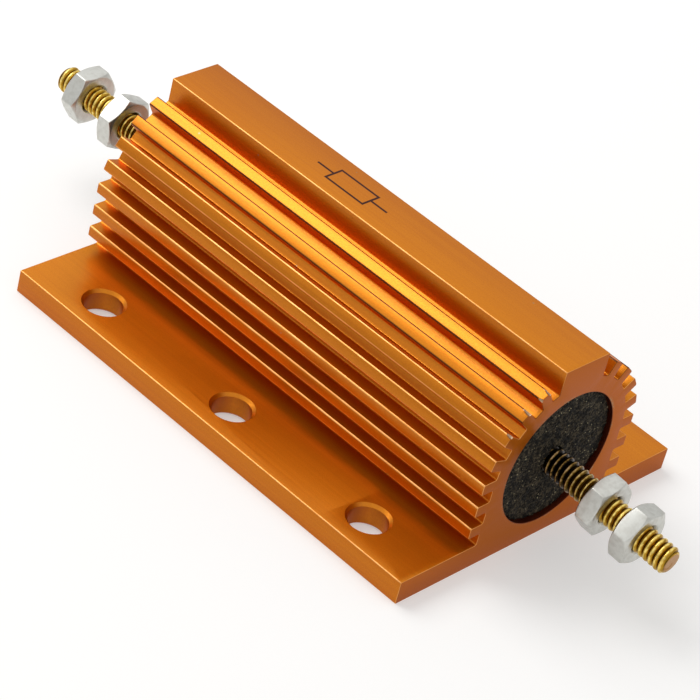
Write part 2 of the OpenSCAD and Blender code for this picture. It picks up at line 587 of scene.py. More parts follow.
    def symbol(
        self, tree: bpy.types.NodeTree, where: bpy.types.NodeSocket, upwards: bpy.types.NodeSocket
    ) -> bpy.types.Node:
        """Draws a circuit symbol of a resistor, a box between two leads, on the top of the ridge.

        Args:
            tree: the material's node tree.
            where: the object coordinates, in metres.
            upwards: the upward part of the surface's normal.

        Returns:
            The node that is 1 on the strokes and 0 elsewhere.
        """
        centre_x, box_x, box_y, lead, stroke = -7.2, 4.2, 1.9, 3.5, 0.42
        in_mm = add_node(
            tree,
            "ShaderNodeMapping",
            {"Vector": where, "Location": (-centre_x, 0, 0), "Scale": (1 / MM,) * 3},
        )
        folded = add_node(tree, "ShaderNodeVectorMath", {0: in_mm}, operation="ABSOLUTE")
        apart = add_node(tree, "ShaderNodeSeparateXYZ", {0: folded})
        past_x = add_node(tree, "ShaderNodeMath", {0: apart.outputs["X"], 1: box_x}, operation="SUBTRACT")
        past_y = add_node(tree, "ShaderNodeMath", {0: apart.outputs["Y"], 1: box_y}, operation="SUBTRACT")
        box = add_node(tree, "ShaderNodeMath", {0: past_x, 1: past_y}, operation="MAXIMUM")
        outline = add_node(tree, "ShaderNodeMath", {0: box}, operation="ABSOLUTE")
        along = add_node(tree, "ShaderNodeMath", {0: past_x, 1: lead / 2}, operation="SUBTRACT")
        along = add_node(tree, "ShaderNodeMath", {0: along}, operation="ABSOLUTE")
        along = add_node(tree, "ShaderNodeMath", {0: along, 1: lead / 2}, operation="SUBTRACT")
        leads = add_node(tree, "ShaderNodeMath", {0: along, 1: apart.outputs["Y"]}, operation="MAXIMUM")
        nearest = add_node(tree, "ShaderNodeMath", {0: outline, 1: leads}, operation="MINIMUM")
        stroke_mask = add_node(
            tree,
            "ShaderNodeMapRange",
            {"Value": nearest, "From Min": stroke / 2 + 0.04, "From Max": stroke / 2 - 0.04},
        )
        on_top = add_node(tree, "ShaderNodeMath", {0: upwards, 1: 0.9}, operation="GREATER_THAN")
        height = add_node(
            tree,
            "ShaderNodeMath",
            {0: apart.outputs["Z"], 1: cad_high.z / MM - 0.5},
            operation="GREATER_THAN",
        )
        on_ridge = add_node(tree, "ShaderNodeMath", {0: on_top, 1: height}, operation="MULTIPLY")
        return add_node(tree, "ShaderNodeMath", {0: stroke_mask, 1: on_ridge}, operation="MULTIPLY")


@dataclass(frozen=True)
class Brass(Finish):
    """Rolled brass thread, its crests painted bright as a highlight and its roots painted dark as shade
    with dirt, tarnished near the cement.

    Args:
        crest: the colour of a crest, painted bright as a highlight.
        flank: the colour of the flanks.
        root: the colour in the roots, painted shade with dirt.
        tarnish: the colour of brass that the firing of the cement has blackened.
        tarnished_crest: the colour of the crests there, painted paler as a highlight.
        sawn: the colour of the tip's flat face.
        tarnished_to_mm: the distance from the middle at which the tarnish is at its darkest.
        clean_from_mm: the distance from the middle past which the brass is clean.
    """

    crest: str = "#f4d87a"
    flank: str = "#b08626"
    root: str = "#5f4610"
    tarnish: str = "#1c130b"
    tarnished_crest: str = "#94795a"
    sawn: str = "#a8783c"
    tarnished_to_mm: float = 47.0
    clean_from_mm: float = 57.0

    def draw(self, tree: bpy.types.NodeTree, shader: bpy.types.Node) -> None:
        """Draws the painted highlight on the crests, the flanks, the painted shade with dirt in the roots, the
        tarnish and the sawn tip.
        """
        coordinates = add_node(tree, "ShaderNodeTexCoord")
        where = coordinates.outputs["Object"]
        mottle = add_node(tree, "ShaderNodeTexNoise", {"Vector": where, "Scale": per_cell(0.7), "Detail": 3.0})
        apart = add_node(tree, "ShaderNodeSeparateXYZ", {0: where})
        out = add_node(tree, "ShaderNodeMath", {0: apart.outputs["X"]}, operation="ABSOLUTE")
        soiled = add_node(
            tree,
            "ShaderNodeMapRange",
            {"Value": out, "From Min": self.clean_from_mm * MM, "From Max": self.tarnished_to_mm * MM},
        )
        # Painted light by the thread's depth: a bright highlight colour on the crests, painted shade with dirt
        # in the roots
        depth = add_node(tree, "ShaderNodeAttribute", attribute_name="root").outputs["Fac"]
        uneven = add_node(
            tree, "ShaderNodeMath", {0: mottle.outputs[0], 1: 0.9, 2: depth}, operation="MULTIPLY_ADD"
        )
        off_crest = add_node(
            tree, "ShaderNodeMapRange", {"Value": uneven, "From Min": 0.38, "From Max": 0.68}
        )
        in_root = add_node(
            tree, "ShaderNodeMapRange", {"Value": uneven, "From Min": 0.95, "From Max": 1.4}
        )
        facing = add_node(tree, "ShaderNodeSeparateXYZ", {0: coordinates.outputs["Normal"]})
        endwards = add_node(tree, "ShaderNodeMath", {0: facing.outputs["X"]}, operation="ABSOLUTE")
        is_tip = add_node(tree, "ShaderNodeMath", {0: endwards, 1: 0.985}, operation="GREATER_THAN")
        blackened = add_node(tree, "ShaderNodeMath", {0: soiled, 1: off_crest}, operation="MULTIPLY")
        colour = lay_over(
            tree,
            self.crest,
            [
                (soiled, self.tarnished_crest),
                (off_crest, self.flank),
                (in_root, self.root),
                (blackened, self.tarnish),
                (is_tip, self.sawn),
            ],
        )
        tree.links.new(colour, shader.inputs["Base Color"])
        rough = add_node(
            tree, "ShaderNodeMapRange", {"Value": in_root, "To Min": self.roughness, "To Max": 0.5}
        )
        tree.links.new(rough.outputs[0], shader.inputs["Roughness"])
        bump = add_node(
            tree, "ShaderNodeBump", {"Height": mottle.outputs[0], "Strength": 0.4, "Distance": 0.04 * MM}
        )
        tree.links.new(bump.outputs[0], shader.inputs["Normal"])


@dataclass(frozen=True)
class NickelPlate(Finish):
    """Dull nickel plate on pressed steel, satin and slightly stained.

    Args:
        plate: the colour of the plate.
        stain: the colour of its stains.
    """

    plate: str = "#cecec8"
    stain: str = "#b4b2aa"

    def draw(self, tree: bpy.types.NodeTree, shader: bpy.types.Node) -> None:
        """Draws the stains and the satin grain."""
        where = add_node(tree, "ShaderNodeTexCoord").outputs["Object"]
        stains = add_node(tree, "ShaderNodeTexNoise", {"Vector": where, "Scale": per_cell(0.9), "Detail": 3.0})
        grain = add_node(tree, "ShaderNodeTexNoise", {"Vector": where, "Scale": per_cell(0.25), "Detail": 2.0})
        amount = add_node(
            tree,
            "ShaderNodeMapRange",
            {"Value": stains.outputs[0], "From Min": 0.4, "From Max": 0.8, "To Max": 0.7},
        )
        tree.links.new(lay_over(tree, self.plate, [(amount, self.stain)]), shader.inputs["Base Color"])
        rough = add_node(
            tree,
            "ShaderNodeMapRange",
            {
                "Value": stains.outputs[0],
                "To Min": self.roughness - 0.08,
                "To Max": self.roughness + 0.12,
            },
        )
        tree.links.new(rough.outputs[0], shader.inputs["Roughness"])
        bump = add_node(
            tree, "ShaderNodeBump", {"Height": grain.outputs[0], "Strength": 0.25, "Distance": 0.02 * MM}
        )
        tree.links.new(bump.outputs[0], shader.inputs["Normal"])


@dataclass(frozen=True)
class BlackCement(Finish):
    """Black high-temperature cement with grains of quartz sand that catch the light.

    Args:
        binder: the colour of the binder.
        sand: the colour of the duller grains.
        quartz: the colour of the few bright grains.
        grain_mm: the size of a grain.
    """

    binder: str = "#0d0a06"
    sand: str = "#5f5544"
    quartz: str = "#a79c7c"
    grain_mm: float = 0.4

    def draw(self, tree: bpy.types.NodeTree, shader: bpy.types.Node) -> None:
        """Draws the grains."""
        where = add_node(tree, "ShaderNodeTexCoord").outputs["Object"]
        fine, coarse = [
            add_node(
                tree,
                "ShaderNodeTexNoise",
                {"Vector": where, "Scale": per_cell(size), "Detail": 3.0, "Roughness": 0.7},
            )
            for size in (self.grain_mm, self.grain_mm * 4)
        ]
        grains = add_node(tree, "ShaderNodeTexVoronoi", {"Vector": where, "Scale": per_cell(self.grain_mm)})
        lot = add_node(tree, "ShaderNodeSeparateXYZ", {0: grains.outputs["Color"]})
        sandy = add_node(
            tree, "ShaderNodeMath", {0: fine.outputs[0], 1: coarse.outputs[0]}, operation="ADD"
        )
        sandy = add_node(tree, "ShaderNodeMapRange", {"Value": sandy, "From Min": 0.94, "From Max": 1.3})
        chosen = add_node(
            tree, "ShaderNodeMapRange", {"Value": lot.outputs["X"], "From Min": 0.88, "From Max": 0.91}
        )
        bright = add_node(
            tree,
            "ShaderNodeMapRange",
            {"Value": grains.outputs["Distance"], "From Min": 0.4, "From Max": 0.2},
        )
        bright = add_node(tree, "ShaderNodeMath", {0: bright, 1: chosen}, operation="MULTIPLY")
        colour = lay_over(tree, self.binder, [(sandy, self.sand), (bright, self.quartz)])
        tree.links.new(colour, shader.inputs["Base Color"])
        shader.inputs["Specular IOR Level"].default_value = 0.2
        bump = add_node(
            tree, "ShaderNodeBump", {"Height": fine.outputs[0], "Strength": 1.0, "Distance": 0.12 * MM}
        )
        tree.links.new(bump.outputs[0], shader.inputs["Normal"])


@dataclass(frozen=True)
class PlainFinish(Finish):
    """A finish of one colour that a fine noise breaks up, for the sealed pieces.

    Args:
        light: the colour of its light patches.
        dark: the colour of its dark patches.
        cell_mm: the size of a patch.
    """

    light: str
    dark: str
    cell_mm: float

    def draw(self, tree: bpy.types.NodeTree, shader: bpy.types.Node) -> None:
        """Draws the patches."""
        where = add_node(tree, "ShaderNodeTexCoord").outputs["Object"]
        noise = add_node(
            tree, "ShaderNodeTexNoise", {"Vector": where, "Scale": per_cell(self.cell_mm), "Detail": 4.0}
        )
        ramp = colour_stops(
            add_node(tree, "ShaderNodeValToRGB", {"Fac": noise.outputs[0]}),
            [(0.35, self.dark), (0.65, self.light)],
        )
        tree.links.new(ramp.outputs[0], shader.inputs["Base Color"])
        bump = add_node(
            tree, "ShaderNodeBump", {"Height": noise.outputs[0], "Strength": 0.2, "Distance": 0.05 * MM}
        )
        tree.links.new(bump.outputs[0], shader.inputs["Normal"])


# Each slot's finish, with the metallic and roughness of the real surface
FINISHES: dict[Slot, Finish] = {
    Slot.ANODISED: GoldAnodising("gold_dyed_anodising", 0.88, 0.3),
    Slot.BRASS: Brass("rolled_brass", 1.0, 0.2),
    Slot.NICKEL: NickelPlate("dull_nickel_plate", 1.0, 0.34),
    Slot.CEMENT: BlackCement("cast_black_cement", 0.0, 0.75),
    Slot.STEATITE: PlainFinish("steatite_ceramic", 0.0, 0.55, "#ece6d8", "#dcd4c2", 1.2),
    Slot.WIRE: PlainFinish("nichrome_wire", 1.0, 0.4, "#9a958e", "#6f6a64", 0.4),
    Slot.CAP: PlainFinish("tinned_steel_cap", 1.0, 0.35, "#c2c0ba", "#9a978f", 0.9),
}


# ---------------------------------------------------------------------------------------------
# The housing
# ---------------------------------------------------------------------------------------------


@dataclass(frozen=True)
class Corner:
    """A corner of the housing's section.

    Args:
        y: its place across the housing.
        z: its height.
        radius: the radius that rounds it over.
    """

    y: float
    z: float
    radius: float = 0.0


@dataclass(frozen=True)
class Nick:
    """A small chip in the edge of a fin's tip, on the near side.

    Args:
        x: its place along the housing.
        fin: the fin, counted up from the flange from 1.
        upper: whether it is in the tip's upper edge.
        width: its width.
        depth: its depth.
        bare: whether the metal shows bare in it.
    """

    x: float
    fin: int
    upper: bool
    width: float = 0.8
    depth: float = 0.35
    bare: bool = False


@dataclass
class Housing:
    """The finned extrusion with its ridge, bore, flanged base and mounting holes.

    Args:
        base_t: the thickness of the flanged base.
        ridge_w: the width of the ridge.
        bore_d: the diameter of the bore.
        bore_z: the height of its axis.
        wall_t: the wall between the bore and the grooves.
        fin_t: the thickness of a fin.
        fin_depth: how far a fin stands out from the wall.
        fin_gap: the gap between straight fins.
        straight_fins: how many level fins a side has.
        radial_fins: how many fins it has above them, which point away from the bore's axis.
        radial_step: the angle from one of those to the next, in degrees.
        holes_per_flange: how many holes each flange has.
        hole_pitch: the distance from one of them to the next.
        hole_row_gap: the distance between the two rows.
        hole_d: the diameter of a hole.
        hole_chamfer: its chamfers.
        tip_round: the radius at the fins' tips.
        root_round: the radius at their roots.
        corner_round: the radius at the other corners.
        rim_round: the radius around the two end faces.
        arc_step_deg: the angle between points on the bottom of a groove.
        size: the length, the width and the height, from the CAD box.
        body_r: the radius of the grooves' bottom.
        fin_r: the radius of the fins' tips.
        radial_start: the angle of the top straight fin, where the radial ones start, in radians.
    """

    base_t: float = 4.2
    ridge_w: float = 10.2
    bore_d: float = 24.3
    bore_z: float = 15.3
    wall_t: float = 2.95
    fin_t: float = 2.0
    fin_depth: float = 2.6
    fin_gap: float = 2.3
    straight_fins: int = 3
    radial_fins: int = 4
    radial_step: float = 14.5
    holes_per_flange: int = 3
    hole_pitch: float = 31.0
    hole_row_gap: float = 50.7
    hole_d: float = 6.6
    hole_chamfer: float = 0.5
    tip_round: float = 0.28
    root_round: float = 0.35
    corner_round: float = 0.18
    rim_round: float = 0.08
    arc_step_deg: float = 2.5
    size: Vector = field(init=False)
    body_r: float = field(init=False)
    fin_r: float = field(init=False)
    radial_start: float = field(init=False)

    def __post_init__(self) -> None:
        """Takes the overall sizes from the CAD box and derives the section's radii."""
        low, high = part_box("housing")
        self.size = (high - low) / MM
        self.body_r = self.bore_d / 2 + self.wall_t
        self.fin_r = self.body_r + self.fin_depth
        top_fin_z = self.base_t + self.straight_fins * (self.fin_t + self.fin_gap) - self.fin_t / 2
        self.radial_start = math.asin((top_fin_z - self.bore_z) / self.fin_r)

    def wall_y(self, z: float) -> float:
        """Gives how far the bottom of the grooves is from the middle plane at a height."""
        above = max(0.0, z - self.bore_z)
        return math.sqrt(self.body_r**2 - above**2)

    def body_arc(self, start: float, end: float) -> list[Corner]:
        """Gives the bottom of a groove between two angles above the bore's axis, ends left out."""
        steps = max(1, round(math.degrees(end - start) / self.arc_step_deg))
        angles = [start + (end - start) * i / steps for i in range(1, steps)]
        return [
            Corner(self.body_r * math.cos(a), self.bore_z + self.body_r * math.sin(a)) for a in angles
        ]

    def straight_fin(self, level: int) -> list[Corner]:
        """Gives the four corners of a straight fin, from its lower root to its upper one."""
        top = self.base_t + level * (self.fin_t + self.fin_gap)
        bottom = top - self.fin_t
        return [
            Corner(self.wall_y(bottom), bottom, self.root_round),
            Corner(self.fin_r, bottom, self.tip_round),
            Corner(self.fin_r, top, self.tip_round),
            Corner(self.wall_y(top), top, self.root_round),
        ]

    def radial_fin(self, index: int) -> list[Corner]:
        """Gives the four corners of a radial fin, from its lower root to its upper one."""
        angle = self.radial_start + math.radians(index * self.radial_step)
        out = Vector((math.cos(angle), math.sin(angle)))
        side = Vector((-math.sin(angle), math.cos(angle))) * self.fin_t / 2
        root = math.sqrt(self.body_r**2 - (self.fin_t / 2) ** 2)
        middle = Vector((0, self.bore_z))
        places = [
            (middle + out * root - side, self.root_round),
            (middle + out * self.fin_r - side, self.tip_round),
            (middle + out * self.fin_r + side, self.tip_round),
            (middle + out * root + side, self.root_round),
        ]
        return [Corner(p.x, p.y, radius) for p, radius in places]

    def angle_of(self, corner: Corner) -> float:
        """Gives a corner's angle above the bore's axis."""
        return math.atan2(corner.z - self.bore_z, corner.y)

    def half_section(self) -> list[Corner]:
        """Gives the corners of one side of the section, from the underside up to the ridge."""
        half_width = self.size.y / 2
        corners = [
            Corner(half_width, 0, self.corner_round),
            Corner(half_width, self.base_t, self.corner_round),
            Corner(self.body_r, self.base_t, self.root_round),
        ]
        for level in range(1, self.straight_fins + 1):
            corners += self.straight_fin(level)
        for index in range(1, self.radial_fins + 1):
            fin = self.radial_fin(index)
            corners += self.body_arc(self.angle_of(corners[-1]), self.angle_of(fin[0])) + fin
        half_ridge = self.ridge_w / 2
        ridge_foot = Corner(
            half_ridge, self.bore_z + math.sqrt(self.body_r**2 - half_ridge**2), self.root_round
        )
        corners += self.body_arc(self.angle_of(corners[-1]), self.angle_of(ridge_foot))
        return corners + [ridge_foot, Corner(half_ridge, self.size.z, self.corner_round)]

    def outline(self) -> list[Vector]:
        """Gives the section's outline as points across and up, with its corners rounded over."""
        right = self.half_section()
        left = [Corner(-c.y, c.z, c.radius) for c in reversed(right)]
        return round_over(right + left)

    def section_mesh(self) -> bpy.types.Mesh:
        """Makes the outline and the bore as loops of edges, each point with its outward direction."""
        outer = self.outline()
        across, up = Vector((1, 0, 0)), Vector((0, 1, 0))
        bore = circle(Vector((0, self.bore_z, 0)), self.bore_d / 2, up, across, 144)
        points = [Vector((p.x, p.y, 0)) for p in outer] + bore
        edges = loop_edges(len(outer), 0) + loop_edges(len(bore), len(outer))
        outward = loop_normals(outer) + loop_normals([Vector((p.x, p.y)) for p in bore])
        mesh = bpy.data.meshes.new("housing_section")
        mesh.from_pydata([tuple(p) for p in points], edges, [])
        layer = mesh.attributes.new("outward", "FLOAT_VECTOR", "POINT")
        layer.data.foreach_set("vector", [c for n in outward for c in (n.x, n.y, 0.0)])
        return mesh

    def extrusion_tree(self) -> bpy.types.NodeTree:
        """Builds the tree that extrudes the section, rounds its rims over and drills the holes."""
        tree = new_tree(
            "drilled_extrusion",
            {
                "Length": "Float",
                "Rim Round": "Float",
                "Holes Along": "Int",
                "Hole Pitch": "Float",
                "Row Gap": "Float",
                "Drill": "Object",
                "Nicks": "Object",
            },
        )
        source = add_node(tree, "NodeGroupInput")
        length, rim = source.outputs["Length"], source.outputs["Rim Round"]
        outward = add_node(
            tree, "GeometryNodeInputNamedAttribute", {"Name": "outward"}, data_type="FLOAT_VECTOR"
        )

        def step(inwards: float, along: Any, rims: float) -> bpy.types.Node:
            """Gives a move inwards by a share of the rim's radius, and along by a length."""
            inset = add_node(tree, "ShaderNodeMath", {0: rim, 1: -inwards}, operation="MULTIPLY")
            aside = add_node(
                tree, "ShaderNodeVectorMath", {0: outward.outputs[0], "Scale": inset}, operation="SCALE"
            )
            run = add_node(tree, "ShaderNodeMath", {0: rim, 1: rims, 2: along}, operation="MULTIPLY_ADD")
            lift = add_node(tree, "ShaderNodeCombineXYZ", {"Z": run})
            return add_node(tree, "ShaderNodeVectorMath", {0: aside, 1: lift}, operation="ADD")

        start = add_node(
            tree, "GeometryNodeSetPosition", {"Geometry": source.outputs[0], "Offset": step(1, 0.0, 0)}
        )
        wall: bpy.types.Node = start
        top: Any = True
        quarter = [math.radians(90 * i / 3) for i in range(4)]
        rounding = [
            (math.sin(a) - math.sin(b), math.cos(a) - math.cos(b)) for a, b in zip(quarter, quarter[1:])
        ]
        moves = [(inwards, 0.0, rims) for inwards, rims in rounding]
        moves.append((0.0, length, -2.0))
        moves += [(-inwards, 0.0, rims) for inwards, rims in reversed(rounding)]
        for inwards, along, rims in moves:
            drawn = add_node(
                tree,
                "GeometryNodeExtrudeMesh",
                {"Mesh": wall, "Selection": top, "Offset Scale": 0.0},
                mode="EDGES",
            )
            top = drawn.outputs["Top"]
            wall = add_node(
                tree,
                "GeometryNodeSetPosition",
                {"Geometry": drawn, "Selection": top, "Offset": step(inwards, along, rims)},
            )
        loops = add_node(tree, "GeometryNodeMeshToCurve", {"Mesh": start})
        near_face = add_node(tree, "GeometryNodeFillCurve", {"Curve": loops})
        far_by = add_node(tree, "ShaderNodeCombineXYZ", {"Z": length})
        far_face = add_node(
            tree, "GeometryNodeTransform", {"Geometry": near_face, "Translation": far_by}
        )
        back_face = add_node(tree, "GeometryNodeFlipFaces", {"Mesh": near_face})
        outer_wall = add_node(tree, "GeometryNodeFlipFaces", {"Mesh": wall})
        joined = add_node(tree, "GeometryNodeJoinGeometry", {"Geometry": outer_wall})
        for face in (far_face, back_face):
            tree.links.new(face.outputs[0], joined.inputs["Geometry"])
        solid = add_node(tree, "GeometryNodeMergeByDistance", {"Geometry": joined, "Distance": 0.0005})
        half_back = add_node(tree, "ShaderNodeMath", {0: length, 1: -0.5}, operation="MULTIPLY")
        laid = add_node(
            tree,
            "GeometryNodeTransform",
            {
                "Geometry": solid,
                "Translation": add_node(tree, "ShaderNodeCombineXYZ", {"X": half_back}),
                "Rotation": (math.pi / 2, 0.0, math.pi / 2),
            },
        )

        # The holes: one drill on each point of a grid
        gaps = add_node(
            tree, "ShaderNodeMath", {0: source.outputs["Holes Along"], 1: 1.0}, operation="SUBTRACT"
        )
        row = add_node(
            tree, "ShaderNodeMath", {0: gaps, 1: source.outputs["Hole Pitch"]}, operation="MULTIPLY"
        )
        grid = add_node(
            tree,
            "GeometryNodeMeshGrid",
            {
                "Size X": row,
                "Size Y": source.outputs["Row Gap"],
                "Vertices X": source.outputs["Holes Along"],
                "Vertices Y": 2,
            },
        )
        drill = add_node(tree, "GeometryNodeObjectInfo", {"Object": source.outputs["Drill"]})
        drills = add_node(
            tree, "GeometryNodeInstanceOnPoints", {"Points": grid, "Instance": drill.outputs["Geometry"]}
        )
        nicks = add_node(tree, "GeometryNodeObjectInfo", {"Object": source.outputs["Nicks"]})
        cutters = add_node(tree, "GeometryNodeJoinGeometry", {"Geometry": drills})
        tree.links.new(nicks.outputs["Geometry"], cutters.inputs["Geometry"])
        cutters = add_node(tree, "GeometryNodeRealizeInstances", {"Geometry": cutters})
        drilled = add_node(
            tree,
            "GeometryNodeMeshBoolean",
            {"Mesh 1": laid, "Mesh 2": cutters},
            operation="DIFFERENCE",
            solver="EXACT",
        )
        end_tree(tree, drilled, source)
        return tree

    def drill(self) -> bpy.types.Object:
        """Makes the cutter of one hole, with a chamfer at each side of the flange."""
        radius, past = self.hole_d / 2, 1.0
        wide = radius + self.hole_chamfer + past
        profile = [
            (wide, -past),
            (radius, self.hole_chamfer),
            (radius, self.base_t - self.hole_chamfer),
            (wide, self.base_t + past),
        ]
        x, y = Vector((1, 0, 0)), Vector((0, 1, 0))
        rings = [circle(Vector((0, 0, z)), r, x, y, 64) for r, z in profile]
        return new_object("drill", loft("drill", rings))

    def nick_place(self, nick: Nick) -> Matrix:
        """Gives the matrix that turns a unit ball into the form of a nick."""
        low_fin = nick.fin <= self.straight_fins
        fin = self.straight_fin(nick.fin) if low_fin else self.radial_fin(nick.fin - self.straight_fins)
        edge = fin[2] if nick.upper else fin[1]
        size = Vector((nick.width / 2, nick.depth, nick.depth))
        return Matrix.LocRotScale(Vector((nick.x, -edge.y, edge.z)), None, size)

    def nick_cutter(self, nicks: Sequence[Nick]) -> bpy.types.Object:
        """Makes the cutter of the nicks, a stretched ball on each chipped edge."""
        shape = bmesh.new()
        for nick in nicks:
            bmesh.ops.create_icosphere(shape, subdivisions=2, radius=1.0, matrix=self.nick_place(nick))
        mesh = bpy.data.meshes.new("nicks")
        shape.to_mesh(mesh)
        shape.free()
        return new_object("nicks", mesh)

    def build(self, material: bpy.types.Material, nicks: Sequence[Nick]) -> bpy.types.Object:
        """Builds the housing.

        Args:
            material: its finish.
            nicks: the chips in its fins.

        Returns:
            The finished piece.
        """
        cutters = [self.drill(), self.nick_cutter(nicks)]
        values = {
            "Length": self.size.x,
            "Rim Round": self.rim_round,
            "Holes Along": self.holes_per_flange,
            "Hole Pitch": self.hole_pitch,
            "Row Gap": self.hole_row_gap,
            "Drill": cutters[0],
            "Nicks": cutters[1],
            "Material": material,
        }
        housing = run_tree(self.section_mesh(), self.extrusion_tree(), values, "finned_housing")
        for cutter in cutters:
            bpy.data.objects.remove(cutter)
        chips = [self.nick_place(nick) for nick in nicks]
        bare = [chip for chip, nick in zip(chips, nicks) if nick.bare]
        # The crowns of the steep fins between these heights get painted shade instead of a painted highlight
        low_tip = self.radial_fin(self.radial_fins - 1)[1]
        steep_fins = (low_tip.z - 2 * self.tip_round, self.size.z - 1)
        mark_wear_and_painted_light(housing.data, chips, bare, steep_fins)
        smooth(housing.data, 35)
        return place(housing, Slot.ANODISED, "housing")


def round_over(corners: Sequence[Corner], steps: int = 4) -> list[Vector]:
    """Rounds the corners of a closed outline over.

    Args:
        corners: the outline's corners, in order.
        steps: how many segments a rounded corner has.

    Returns:
        The points of the rounded outline.
    """
    points: list[Vector] = []
    for i, corner in enumerate(corners):
        here = Vector((corner.y, corner.z))
        before = Vector((corners[i - 1].y, corners[i - 1].z)) - here
        after_corner = corners[(i + 1) % len(corners)]
        after = Vector((after_corner.y, after_corner.z)) - here
        half_angle = before.angle(after) / 2
        cut = corner.radius / math.tan(half_angle) if corner.radius else 0.0
        cut = min(cut, before.length * 0.45, after.length * 0.45)
        if cut < 1e-6:
            points.append(here)
            continue
        start, end = here + before.normalized() * cut, here + after.normalized() * cut
        radius = cut * math.tan(half_angle)
        middle = here + (before.normalized() + after.normalized()).normalized() * (
            radius / math.sin(half_angle)
        )
        from_angle = math.atan2(*(start - middle).yx)
        turn = math.remainder(math.atan2(*(end - middle).yx) - from_angle, 2 * math.pi)
        for k in range(steps + 1):
            angle = from_angle + turn * k / steps
            points.append(middle + Vector((math.cos(angle), math.sin(angle))) * radius)
    return points


def loop_edges(count: int, first: int) -> list[tuple[int, int]]:
    """Gives the edges of a closed loop of points.

    Args:
        count: how many points it has.
        first: the number of its first point.

    Returns:
        The edges.
    """
    return [(first + i, first + (i + 1) % count) for i in range(count)]


def loop_normals(points: Sequence[Vector]) -> list[Vector]:
    """Gives each point's outward direction, for an outline that keeps its solid on its left.

    Args:
        points: the points across and up.

    Returns:
        The directions, lengthened at corners so that an inset keeps its width.
    """
    normals = []
    for i, here in enumerate(points):
        before = (here - points[i - 1]).normalized()
        after = (points[(i + 1) % len(points)] - here).normalized()
        first, second = Vector((before.y, -before.x)), Vector((after.y, -after.x))
        mean = (first + second).normalized()
        normals.append(mean / max(0.3, mean.dot(first)))
    return normals


def mark_wear_and_painted_light(
    mesh: bpy.types.Mesh,
    chips: Sequence[Matrix],
    bare: Sequence[Matrix],
    shaded_zone: tuple[float, float],
) -> None:
    """Marks where a finish wears and where light and shade are painted, in three attributes.

    "edge" marks the crowns of rounded edges, which are worn and get a painted highlight, "grime" those
    of the steep fins beside the ridge, which get painted shade instead, and "bare" the faces of the
    chips that show metal. The mesh is first sliced on both sides of each chip, so that no mark runs
    out along a long face.

    Args:
        mesh: the mesh.
        chips: the place and the size of every chip.
        bare: those of the chips that show metal.
        shaded_zone: the heights between which a crown gets painted shade.
    """
    low, high = math.radians(18), math.radians(33)
    shape = bmesh.new()
    shape.from_mesh(mesh)
    for chip in chips:
        for side in (-1.3, 1.3):
            geometry = [*shape.verts, *shape.edges, *shape.faces]
            plane = {"plane_co": chip @ Vector((side, 0, 0)), "plane_no": (1, 0, 0)}
            bmesh.ops.bisect_plane(shape, geom=geometry, dist=1e-5, **plane)
    edges, shaded_crowns = [], []
    for vertex in shape.verts:
        turns = [e.calc_face_angle_signed(0.0) for e in vertex.link_edges if len(e.link_faces) == 2]
        is_crown = low < max(turns, default=0.0) < high
        # Crowns of the steep fins get painted shade; the other crowns are worn and get a painted highlight
        is_shaded_crown = shaded_zone[0] < vertex.co.z < shaded_zone[1]
        edges.append(float(is_crown and not is_shaded_crown))
        shaded_crowns.append(float(is_crown and is_shaded_crown))
    into_chip = [chip.inverted() for chip in bare]
    chipped = [
        float(any((inverse @ face.calc_center_median()).length < 1.05 for inverse in into_chip))
        for face in shape.faces
    ]
    shape.to_mesh(mesh)
    shape.free()
    for name, domain, values in (
        ("edge", "POINT", edges), ("grime", "POINT", shaded_crowns), ("bare", "FACE", chipped)
    ):
        mesh.attributes.new(name, "FLOAT", domain).data.foreach_set("value", values)


# ---------------------------------------------------------------------------------------------
# The terminals
# ---------------------------------------------------------------------------------------------


